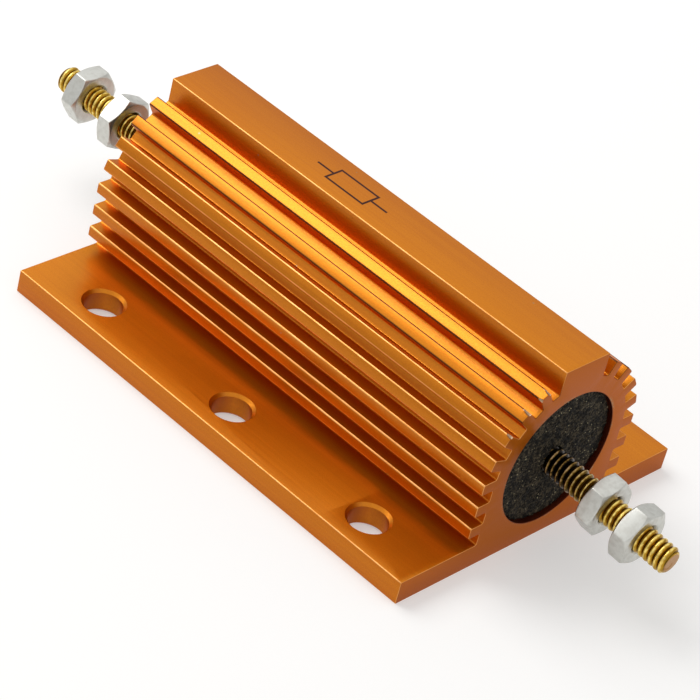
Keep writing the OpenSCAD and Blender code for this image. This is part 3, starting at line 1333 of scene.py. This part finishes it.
@dataclass(frozen=True)
class Thread:
    """A rolled thread.

    Args:
        major_d: its outer diameter.
        pitch: the distance from one turn to the next.
        depth: its depth.
        chamfer: the chamfer at its tip.
    """

    major_d: float = 4.8
    pitch: float = 1.058
    depth: float = 0.5
    chamfer: float = 0.6

    def tree(self) -> bpy.types.NodeTree:
        """Builds the tree that rolls a grid up into a threaded stud on Z, from its root at zero.

        A column of the grid is a line along the stud and a row follows the thread, so that every
        turn has the same section. The seam and both ends close on themselves.
        """
        tree = new_tree(
            "rolled_thread",
            {
                "Length": "Float",
                "Major Radius": "Float",
                "Pitch": "Float",
                "Depth": "Float",
                "Chamfer": "Float",
                "Rows Per Turn": "Int",
                "Steps Around": "Int",
            },
        )
        source = add_node(tree, "NodeGroupInput")
        length, radius = source.outputs["Length"], source.outputs["Major Radius"]
        pitch, per_turn = source.outputs["Pitch"], source.outputs["Rows Per Turn"]

        # The grid: enough whole rows for the length, one turn more and half a turn past each end
        turns = add_node(tree, "ShaderNodeMath", {0: length, 1: pitch}, operation="DIVIDE")
        turns = add_node(tree, "ShaderNodeMath", {0: turns, 1: 2.0}, operation="ADD")
        rows = add_node(tree, "ShaderNodeMath", {0: turns, 1: per_turn}, operation="MULTIPLY")
        rows = add_node(tree, "ShaderNodeMath", {0: rows}, operation="CEIL")
        row_count = add_node(tree, "ShaderNodeMath", {0: rows, 1: 1.0}, operation="ADD")
        columns = add_node(
            tree, "ShaderNodeMath", {0: source.outputs["Steps Around"], 1: 1.0}, operation="ADD"
        )
        grid = add_node(
            tree,
            "GeometryNodeMeshGrid",
            {"Size X": 1.0, "Size Y": 1.0, "Vertices X": columns, "Vertices Y": row_count},
        )
        place_on_grid = add_node(tree, "ShaderNodeSeparateXYZ", {0: add_node(tree, "GeometryNodeInputPosition")})
        turn = add_node(tree, "ShaderNodeMath", {0: place_on_grid.outputs["X"], 1: 0.5}, operation="ADD")
        row = add_node(tree, "ShaderNodeMath", {0: place_on_grid.outputs["Y"], 1: 0.5}, operation="ADD")
        row = add_node(tree, "ShaderNodeMath", {0: row, 1: rows}, operation="MULTIPLY")
        row = add_node(tree, "ShaderNodeMath", {0: row, 1: per_turn}, operation="DIVIDE")
        row = add_node(tree, "ShaderNodeMath", {0: row, 1: 1.5}, operation="SUBTRACT")
        start = add_node(tree, "ShaderNodeMath", {0: row, 1: pitch}, operation="MULTIPLY")
        height = add_node(
            tree, "ShaderNodeMath", {0: turn, 1: pitch, 2: start}, operation="MULTIPLY_ADD"
        )

        # The thread's section, then the chamfer and the flat ends
        half_pitch = add_node(tree, "ShaderNodeMath", {0: pitch, 1: 0.5}, operation="MULTIPLY")
        from_crest = add_node(tree, "ShaderNodeMath", {0: start, 1: half_pitch}, operation="PINGPONG")
        off_crest = add_node(tree, "ShaderNodeMath", {0: from_crest, 1: half_pitch}, operation="DIVIDE")
        depth_share = add_node(tree, "ShaderNodeMath", {0: off_crest, 1: 2.0}, operation="POWER")
        cut = add_node(
            tree, "ShaderNodeMath", {0: depth_share, 1: source.outputs["Depth"]}, operation="MULTIPLY"
        )
        threaded = add_node(tree, "ShaderNodeMath", {0: radius, 1: cut}, operation="SUBTRACT")
        chamfer = source.outputs["Chamfer"]
        shoulder = add_node(tree, "ShaderNodeMath", {0: length, 1: chamfer}, operation="SUBTRACT")
        tip_radius = add_node(tree, "ShaderNodeMath", {0: radius, 1: chamfer}, operation="SUBTRACT")
        cone = add_node(
            tree,
            "ShaderNodeMapRange",
            {
                "Value": height,
                "From Min": shoulder,
                "From Max": length,
                "To Min": radius,
                "To Max": tip_radius,
            },
        )
        skin = add_node(tree, "ShaderNodeMath", {0: threaded, 1: cone}, operation="MINIMUM")
        past_tip = add_node(tree, "ShaderNodeMath", {0: length, 1: half_pitch}, operation="ADD")
        tip_end = add_node(
            tree, "ShaderNodeMapRange", {"Value": height, "From Min": past_tip, "From Max": length}
        )
        past_root = add_node(tree, "ShaderNodeMath", {0: half_pitch, 1: -1.0}, operation="MULTIPLY")
        root_end = add_node(
            tree, "ShaderNodeMapRange", {"Value": height, "From Min": past_root, "From Max": 0.0}
        )
        skin = add_node(tree, "ShaderNodeMath", {0: skin, 1: tip_end}, operation="MULTIPLY")
        skin = add_node(tree, "ShaderNodeMath", {0: skin, 1: root_end}, operation="MULTIPLY")

        angle = add_node(tree, "ShaderNodeMath", {0: turn, 1: math.tau}, operation="MULTIPLY")
        out = add_node(tree, "ShaderNodeCombineXYZ", {"X": skin})
        round_it = add_node(
            tree, "ShaderNodeVectorRotate", {"Vector": out, "Angle": angle}, rotation_type="Z_AXIS"
        )
        along = add_node(tree, "ShaderNodeClamp", {"Value": height, "Min": 0.0, "Max": length})
        lift = add_node(tree, "ShaderNodeCombineXYZ", {"Z": along})
        where = add_node(tree, "ShaderNodeVectorMath", {0: round_it, 1: lift}, operation="ADD")

        marked = add_node(
            tree,
            "GeometryNodeStoreNamedAttribute",
            {"Geometry": grid, "Name": "root", "Value": depth_share},
            data_type="FLOAT",
            domain="POINT",
        )
        rolled = add_node(tree, "GeometryNodeSetPosition", {"Geometry": marked, "Position": where})
        closed = add_node(tree, "GeometryNodeMergeByDistance", {"Geometry": rolled, "Distance": 0.0005})
        end_tree(tree, closed, source)
        return tree

    def stud(self, length: float, name: str, material: bpy.types.Material) -> bpy.types.Object:
        """Builds a stud on Z with its root at the origin.

        Args:
            length: its length.
            name: the name of the piece.
            material: its finish.

        Returns:
            The stud.
        """
        values = {
            "Length": length,
            "Major Radius": self.major_d / 2,
            "Pitch": self.pitch,
            "Depth": self.depth,
            "Chamfer": self.chamfer,
            "Rows Per Turn": 16,
            "Steps Around": 40,
            "Material": material,
        }
        stud = run_tree(bpy.data.meshes.new("empty"), self.tree(), values, name)
        face_outwards(stud.data)
        smooth(stud.data, 40)
        return stud


@dataclass(frozen=True)
class Nut:
    """A hexagon nut with both faces chamfered and both ends of its bore countersunk.

    Args:
        across_flats: its width across the flats.
        thickness: its thickness.
        face_share: the flat face's diameter as a share of the width across flats.
        chamfer_deg: the angle of its chamfers.
        bore_d: the diameter of its bore.
        countersink: the depth of the countersinks.
        edge_round: the radius of its edges.
    """

    across_flats: float = 9.0
    thickness: float = 3.4
    face_share: float = 0.96
    chamfer_deg: float = 30.0
    bore_d: float = 4.84
    countersink: float = 0.45
    edge_round: float = 0.1

    def ring(self, height: float, radius: float | None) -> list[Vector]:
        """Gives one loop of points around the nut, round or along the hexagon.

        Args:
            height: its height above the lower face, or its depth below the chamfer's start.
            radius: its radius, or nothing for the hexagon.

        Returns:
            The points.
        """
        columns = 96
        points = []
        for i in range(columns):
            angle = math.tau * i / columns
            to_flat = math.remainder(angle - math.pi / 6, math.pi / 3)
            reach = self.across_flats / 2 / math.cos(to_flat)
            z = height
            if radius is None:
                face_r = self.face_share * self.across_flats / 2
                drop = (reach - face_r) * math.tan(math.radians(self.chamfer_deg))
                z = drop if height == 0 else height - drop
            r = reach if radius is None else radius
            points.append(Vector((r * math.cos(angle), r * math.sin(angle), z)))
        return points

    def build(self, name: str, material: bpy.types.Material) -> bpy.types.Object:
        """Builds the nut on Z with its lower face at the origin.

        Args:
            name: the name of the piece.
            material: its finish.

        Returns:
            The nut.
        """
        bore_r, face_r = self.bore_d / 2, self.face_share * self.across_flats / 2
        wide_r, top = bore_r + self.countersink, self.thickness
        rings = [
            self.ring(self.countersink, bore_r),
            self.ring(0.0, wide_r),
            self.ring(0.0, face_r),
            self.ring(0.0, None),
            self.ring(top, None),
            self.ring(top, face_r),
            self.ring(top, wide_r),
            self.ring(top - self.countersink, bore_r),
        ]
        nut = new_object(name, loft(name, rings, closed_path=True))
        bevel = nut.modifiers.new("edges", "BEVEL")
        bevel.width = self.edge_round
        bevel.segments = 3
        bevel.limit_method = "ANGLE"
        bevel.angle_limit = math.radians(25)
        nut = with_modifiers(nut, name)
        nut.data.materials.append(material)
        smooth(nut.data, 30)
        return nut


@dataclass(frozen=True)
class Terminal:
    """A stud that leans out of the cement, with an inner and an outer nut.

    Args:
        end: the end of the housing that it is at.
        mount: the record's mount at the outer face of its inner nut.
        nut_gap: the distance along the stud from the housing to the inner nut.
        nut_space: the distance between the nuts.
        tail: the length of stud beyond the outer nut.
        inner_clock: the turn of the inner nut, in degrees.
        outer_clock: the turn of the outer nut, in degrees.
        cap_depth: the depth of the stud's root below the end of the housing.
    """

    end: End
    mount: str
    nut_gap: float
    nut_space: float
    tail: float
    inner_clock: float
    outer_clock: float
    cap_depth: float = 14.75
    thread: Thread = Thread()
    nut: Nut = Nut()

    def axis(self) -> Vector:
        """Gives the direction in which the stud points."""
        return Vector(mount_named(self.mount)["axis"]).normalized()

    def inner_at(self) -> float:
        """Gives the distance along the stud from its root to the inner nut."""
        return self.cap_depth / abs(self.axis().x) + self.nut_gap

    def frame(self) -> Matrix:
        """Gives the place of the stud: its root at the origin and its length along Z."""
        axis = self.axis()
        seat = Vector(mount_named(self.mount)["pos_m"]) / MM
        root = seat - axis * (self.inner_at() + self.nut.thickness)
        return Matrix.Translation(root) @ Matrix.Rotation(math.atan2(axis.x, axis.z), 4, "Y")

    def build(self, brass: bpy.types.Material, nickel: bpy.types.Material) -> list[bpy.types.Object]:
        """Builds the stud and its nuts.

        Args:
            brass: the stud's finish.
            nickel: the nuts' finish.

        Returns:
            The stud, the inner nut and the outer nut.
        """
        side = self.end.name.lower()
        inner_at = self.inner_at()
        outer_at = inner_at + self.nut.thickness + self.nut_space
        length = outer_at + self.nut.thickness + self.tail
        stud = self.thread.stud(length, f"threaded_stud_{side}", brass)
        stud.data.transform(self.frame())
        pieces = [place(stud, Slot.BRASS, f"stud_{side}")]
        for which, at, clock in (
            ("inner", inner_at, self.inner_clock), ("outer", outer_at, self.outer_clock)
        ):
            nut = self.nut.build(f"hexagon_nut_{side}_{which}", nickel)
            turned = Matrix.Translation((0, 0, at)) @ Matrix.Rotation(math.radians(clock), 4, "Z")
            nut.data.transform(self.frame() @ turned)
            pieces.append(place(nut, Slot.NICKEL, f"nut_{side}_{which}"))
        return pieces


def mount_named(name: str) -> dict[str, Any]:
    """Gives one of the record's mounts."""
    return next(m for m in frame["record"]["mounts"] if m["name"] == name)


# ---------------------------------------------------------------------------------------------
# The sealed element
# ---------------------------------------------------------------------------------------------


@dataclass(frozen=True)
class Winding:
    """The resistance wire, wound in one layer on the ceramic core.

    Args:
        core_d: the diameter of the core.
        wire_d: the diameter of the wire.
        turns: how many turns it has.
        axis_z: the height of the core's axis.
    """

    core_d: float = 15.0
    wire_d: float = 0.9
    turns: int = 24
    axis_z: float = 15.3

    def tree(self) -> bpy.types.NodeTree:
        """Builds the tree that winds the wire along X around the origin."""
        tree = new_tree(
            "wound_wire",
            {"Turns": "Float", "Length": "Float", "Winding Radius": "Float", "Wire Radius": "Float"},
        )
        source = add_node(tree, "NodeGroupInput")
        radius, length = source.outputs["Winding Radius"], source.outputs["Length"]
        coil = add_node(
            tree,
            "GeometryNodeCurveSpiral",
            {
                "Resolution": 48,
                "Rotations": source.outputs["Turns"],
                "Start Radius": radius,
                "End Radius": radius,
                "Height": length,
            },
        )
        section = add_node(
            tree,
            "GeometryNodeCurvePrimitiveCircle",
            {"Resolution": 10, "Radius": source.outputs["Wire Radius"]},
        )
        wire = add_node(
            tree, "GeometryNodeCurveToMesh", {"Curve": coil, "Profile Curve": section, "Fill Caps": True}
        )
        half_back = add_node(tree, "ShaderNodeMath", {0: length, 1: -0.5}, operation="MULTIPLY")
        laid = add_node(
            tree,
            "GeometryNodeTransform",
            {
                "Geometry": wire,
                "Translation": add_node(tree, "ShaderNodeCombineXYZ", {"X": half_back}),
                "Rotation": (0.0, math.pi / 2, 0.0),
            },
        )
        end_tree(tree, laid, source)
        return tree

    def build(self, material: bpy.types.Material) -> bpy.types.Object:
        """Builds the winding between the end caps.

        Args:
            material: its finish.

        Returns:
            The finished piece.
        """
        low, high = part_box("resistance_winding")
        values = {
            "Turns": float(self.turns),
            "Length": (high.x - low.x) / MM - self.wire_d * 1.1,
            "Winding Radius": (self.core_d + self.wire_d) / 2,
            "Wire Radius": self.wire_d / 2,
            "Material": material,
        }
        winding = run_tree(bpy.data.meshes.new("empty"), self.tree(), values, "wound_wire")
        winding.data.transform(Matrix.Translation((0, 0, self.axis_z)))
        face_outwards(winding.data)
        smooth(winding.data, 50)
        return place(winding, Slot.WIRE, "resistance_winding")


@dataclass(frozen=True)
class Cement:
    """The black cement that fills the bore around the element and the studs' roots.

    Args:
        cap_depth: the depth of the end caps' faces below the ends of the housing. Not used.
        cap_grip: the length of an end cap along the core, its end included.
        cap_d: the diameter of the end caps.
        winding_d: the diameter over the winding.
        axis_z: the height of the bore's axis.
        around: how many points a ring of its skin has.
        face_rings: how many rings an end face has.
        grain: how far the largest grains stand up.
    """

    cap_depth: float = 14.75
    cap_grip: float = 7.5
    cap_d: float = 16.2
    winding_d: float = 16.8
    axis_z: float = 15.3
    around: int = 360
    face_rings: int = 64
    grain: float = 0.3

    def ring(self, x: float, radius: float, z: float) -> list[Vector]:
        """Gives a ring of the skin around X."""
        return circle(Vector((x, 0, z)), radius, Vector((0, 1, 0)), Vector((0, 0, 1)), self.around)

    def half(self, terminal: Terminal, half_length: float, radius: float) -> list[list[Vector]]:
        """Gives the rings of one half, from the outer wall over the end face and into the cavity.

        Args:
            terminal: the terminal at that end.
            half_length: the distance from the middle to the end face.
            radius: the radius of the outer wall.

        Returns:
            The rings.
        """
        sign = terminal.end.value
        axis, root = terminal.axis(), terminal.frame().translation
        cap_x = abs(root.x)
        stud_r = terminal.thread.major_d / 2
        hole_z = root.z + axis.z / abs(axis.x) * (half_length - cap_x)
        rings = [self.ring(sign * half_length * share, radius, self.axis_z) for share in (0.25, 0.8)]
        for i in range(self.face_rings + 1):
            share = i / self.face_rings
            rings.append(
                self.ring(
                    sign * half_length,
                    radius + (stud_r - radius) * share,
                    self.axis_z + (hole_z - self.axis_z) * share,
                ),
            )
        rings.append(self.ring(sign * cap_x, stud_r, root.z))
        rings.append(self.ring(sign * cap_x, self.cap_d / 2, self.axis_z))
        rings.append(self.ring(sign * (cap_x - self.cap_grip), self.cap_d / 2, self.axis_z))
        rings.append(self.ring(sign * (cap_x - self.cap_grip), self.winding_d / 2, self.axis_z))
        return rings

    def tree(self) -> bpy.types.NodeTree:
        """Builds the tree that raises grains and low lumps on the two end faces."""
        tree = new_tree(
            "cast_grains",
            {
                "Face At": "Float",
                "Grain Size": "Float",
                "Grain Height": "Float",
                "Lump Size": "Float",
                "Lump Height": "Float",
            },
        )
        source = add_node(tree, "NodeGroupInput")
        position = add_node(tree, "GeometryNodeInputPosition")
        x = add_node(tree, "ShaderNodeSeparateXYZ", {0: position}).outputs["X"]
        out = add_node(tree, "ShaderNodeMath", {0: x}, operation="ABSOLUTE")
        on_face = add_node(
            tree, "ShaderNodeMath", {0: out, 1: source.outputs["Face At"]}, operation="GREATER_THAN"
        )
        outwards = add_node(tree, "ShaderNodeMath", {0: x}, operation="SIGN")
        total: Any = 0.0
        for size, height in (("Grain Size", "Grain Height"), ("Lump Size", "Lump Height")):
            scale = add_node(
                tree, "ShaderNodeMath", {0: 1.0, 1: source.outputs[size]}, operation="DIVIDE"
            )
            noise = add_node(
                tree,
                "ShaderNodeTexNoise",
                {"Vector": position, "Scale": scale, "Detail": 2.0, "Roughness": 0.6},
            )
            raised = add_node(
                tree,
                "ShaderNodeMapRange",
                {
                    "Value": noise.outputs[0],
                    "From Min": 0.3,
                    "From Max": 0.7,
                    "To Min": -0.5,
                    "To Max": 0.5,
                },
            )
            total = add_node(
                tree,
                "ShaderNodeMath",
                {0: raised, 1: source.outputs[height], 2: total},
                operation="MULTIPLY_ADD",
            )
        push = add_node(tree, "ShaderNodeMath", {0: total, 1: outwards}, operation="MULTIPLY")
        rough = add_node(
            tree,
            "GeometryNodeSetPosition",
            {
                "Geometry": source.outputs[0],
                "Selection": on_face,
                "Offset": add_node(tree, "ShaderNodeCombineXYZ", {"X": push}),
            },
        )
        end_tree(tree, rough, source)
        return tree

    def build(self, terminals: Sequence[Terminal], material: bpy.types.Material) -> bpy.types.Object:
        """Builds the filling.

        Args:
            terminals: the front and the rear terminal.
            material: its finish.

        Returns:
            The finished piece.
        """
        low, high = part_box("cement_filling")
        half_length, radius = high.x / MM, (high.y - low.y) / MM / 2
        front, rear = [self.half(terminal, half_length, radius) for terminal in terminals]
        values = {
            "Face At": half_length - 0.01,
            "Grain Size": 0.5,
            "Grain Height": self.grain,
            "Lump Size": 3.0,
            "Lump Height": self.grain * 1.5,
            "Material": material,
        }
        mesh = loft("cement", front + rear[::-1], closed_path=True)
        cement = run_tree(mesh, self.tree(), values, "cement_fill")
        smooth(cement.data, 60)
        return place(cement, Slot.CEMENT, "cement_filling")


def dress_node(name: str, material: bpy.types.Material) -> None:
    """Gives a carried-over CAD node its finish."""
    node = frame["nodes"][name]
    node.data.materials.clear()
    node.data.materials.append(material)
    log.info("%s: dressed as %s", name, material.name)


# ---------------------------------------------------------------------------------------------
# The studio
# ---------------------------------------------------------------------------------------------


@dataclass(frozen=True)
class Softbox:
    """A square area lamp that faces the origin.

    Args:
        name: its name.
        towards: the direction from the origin to it.
        distance: its distance from the origin, in metres.
        size: the length of its side, in metres.
        radiance: how bright its face is, where 1 is white.
    """

    name: str
    towards: tuple[float, float, float]
    distance: float
    size: float
    radiance: float

    def build(self) -> None:
        """Adds the lamp to the scene."""
        lamp = bpy.data.lights.new(self.name, "AREA")
        lamp.shape = "SQUARE"
        lamp.size = self.size
        lamp.energy = self.radiance * math.pi * self.size**2
        holder = bpy.data.objects.new(self.name, lamp)
        direction = Vector(self.towards).normalized()
        holder.location = direction * self.distance
        holder.rotation_euler = (-direction).to_track_quat("-Z", "Y").to_euler()
        bpy.context.scene.collection.objects.link(holder)


@dataclass(frozen=True)
class Studio:
    """A pale floor that runs out to white under plain soft light.

    Args:
        floor_size: the length of the floor's side, in metres.
        floor: the floor's colour.
        floor_lift: the white that the floor shows to the camera and to reflections besides its shade.
        room: the brightness of the white room on surfaces that don't reflect it.
        horizon: the brightness that it shows at the horizon, where 1 is the white that it shows above.
        lamps: its softboxes.
    """

    floor_size: float = 6.0
    floor: str = "#d6d5d3"
    floor_lift: float = 0.38
    room: float = 0.6
    horizon: float = 0.6
    lamps: tuple[Softbox, ...] = (
        Softbox("overhead_softbox", (-0.64, -0.12, 0.76), 0.75, 0.52, 3.6),
    )

    def shown(self, tree: bpy.types.NodeTree) -> bpy.types.Node:
        """Adds the test for what the camera, a gloss or a clear piece shows of the surroundings."""
        path = add_node(tree, "ShaderNodeLightPath")
        seen = add_node(
            tree,
            "ShaderNodeMath",
            {0: path.outputs["Is Camera Ray"], 1: path.outputs["Is Glossy Ray"]},
            operation="MAXIMUM",
        )
        return add_node(
            tree,
            "ShaderNodeMath",
            {0: seen, 1: path.outputs["Is Transmission Ray"]},
            operation="MAXIMUM",
        )

    def build_floor(self) -> None:
        """Lays the floor under the part."""
        half = self.floor_size / 2
        corners = [(-half, -half, 0), (half, -half, 0), (half, half, 0), (-half, half, 0)]
        mesh = bpy.data.meshes.new("floor")
        mesh.from_pydata(corners, [], [(0, 1, 2, 3)])
        material = bpy.data.materials.new("matt_paper_sweep")
        material.use_nodes = True
        tree = material.node_tree
        tree.nodes.clear()
        where = add_node(tree, "ShaderNodeTexCoord").outputs["Object"]
        fibre = add_node(tree, "ShaderNodeTexNoise", {"Vector": where, "Scale": per_cell(1.0), "Detail": 2.0})
        relief = add_node(
            tree, "ShaderNodeBump", {"Height": fibre.outputs[0], "Strength": 0.05, "Distance": 0.05 * MM}
        )
        paper = add_node(tree, "ShaderNodeBsdfDiffuse", {"Color": linear(self.floor), "Normal": relief})
        lift = add_node(
            tree, "ShaderNodeMath", {0: self.shown(tree), 1: self.floor_lift}, operation="MULTIPLY"
        )
        glow = add_node(tree, "ShaderNodeEmission", {"Strength": lift})
        both = add_node(tree, "ShaderNodeAddShader", {0: paper, 1: glow})
        add_node(tree, "ShaderNodeOutputMaterial", {"Surface": both})
        mesh.materials.append(material)
        new_object("floor", mesh)

    def build_room(self) -> None:
        """Surrounds the part with a white room that is a little greyer towards the horizon."""
        world = bpy.data.worlds.new("white_room")
        bpy.context.scene.world = world
        world.use_nodes = True
        tree = world.node_tree
        tree.nodes.clear()
        direction = add_node(tree, "ShaderNodeTexCoord").outputs["Generated"]
        height = add_node(tree, "ShaderNodeSeparateXYZ", {0: direction}).outputs["Z"]
        walls = add_node(
            tree,
            "ShaderNodeMapRange",
            {"Value": height, "From Min": 0.1, "From Max": 0.55, "To Min": self.horizon},
        )
        strength = add_node(
            tree, "ShaderNodeMapRange", {"Value": self.shown(tree), "To Min": self.room, "To Max": walls}
        )
        background = add_node(
            tree, "ShaderNodeBackground", {"Color": (1.0, 1.0, 1.0, 1.0), "Strength": strength}
        )
        add_node(tree, "ShaderNodeOutputWorld", {"Surface": background})

    def build(self) -> None:
        """Builds the floor, the room and the lamps."""
        self.build_floor()
        self.build_room()
        for lamp in self.lamps:
            lamp.build()
        bpy.context.scene.view_settings.view_transform = "Standard"


@dataclass(frozen=True)
class Viewpoint:
    """The camera's place and lens.

    Args:
        location: where it is, in metres.
        target: the point that it looks at, in metres.
        roll_deg: how far its right side is turned up.
        lens_mm: its focal length on a 36 mm sensor.
    """

    location: tuple[float, float, float] = (0.2455, -0.3334, 0.2979)
    target: tuple[float, float, float] = (-0.0013, 0.0027, 0.0042)
    roll_deg: float = 15.01
    lens_mm: float = 160.29

    def build(self) -> None:
        """Adds the camera to the scene."""
        camera = bpy.data.cameras.new("camera")
        camera.lens = self.lens_mm
        camera.sensor_width = 36.0
        holder = bpy.data.objects.new("camera", camera)
        location = Vector(self.location)
        look = (Vector(self.target) - location).to_track_quat("-Z", "Y").to_matrix().to_4x4()
        roll = Matrix.Rotation(math.radians(self.roll_deg), 4, "Z")
        holder.matrix_world = Matrix.Translation(location) @ look @ roll
        bpy.context.scene.collection.objects.link(holder)
        bpy.context.scene.camera = holder


def main() -> None:
    """Builds the camera, the studio and every piece of the resistor."""
    logging.basicConfig(level=logging.INFO, format="%(message)s")
    Viewpoint().build()
    Studio().build()
    finish = {slot: style.material() for slot, style in FINISHES.items()}

    nicks = [
        Nick(26.8, 1, False),
        Nick(31.4, 3, False),
        Nick(40.2, 3, False),
        Nick(44.4, 5, True, 2.0, 0.5, bare=True),
        Nick(44.4, 6, True, 2.4, 0.6, bare=True),
        Nick(44.4, 7, True, 2.2, 0.6, bare=True),
        Nick(44.4, 7, False, 1.4, 0.4, bare=True),
    ]
    Housing().build(finish[Slot.ANODISED], nicks)
    terminals = [
        Terminal(End.FRONT, "front_terminal", 8.5, 3.7, 5.6, 40, 14),
        Terminal(End.REAR, "rear_terminal", 11.8, 5.6, 4.2, 52, 28),
    ]
    for terminal in terminals:
        terminal.build(finish[Slot.BRASS], finish[Slot.NICKEL])
    Cement().build(terminals, finish[Slot.CEMENT])
    Winding().build(finish[Slot.WIRE])
    dress_node("ceramic_core", finish[Slot.STEATITE])
    for end in End:
        dress_node(f"end_cap_{end.name.lower()}", finish[Slot.CAP])


if __name__ == "__main__":
    main()
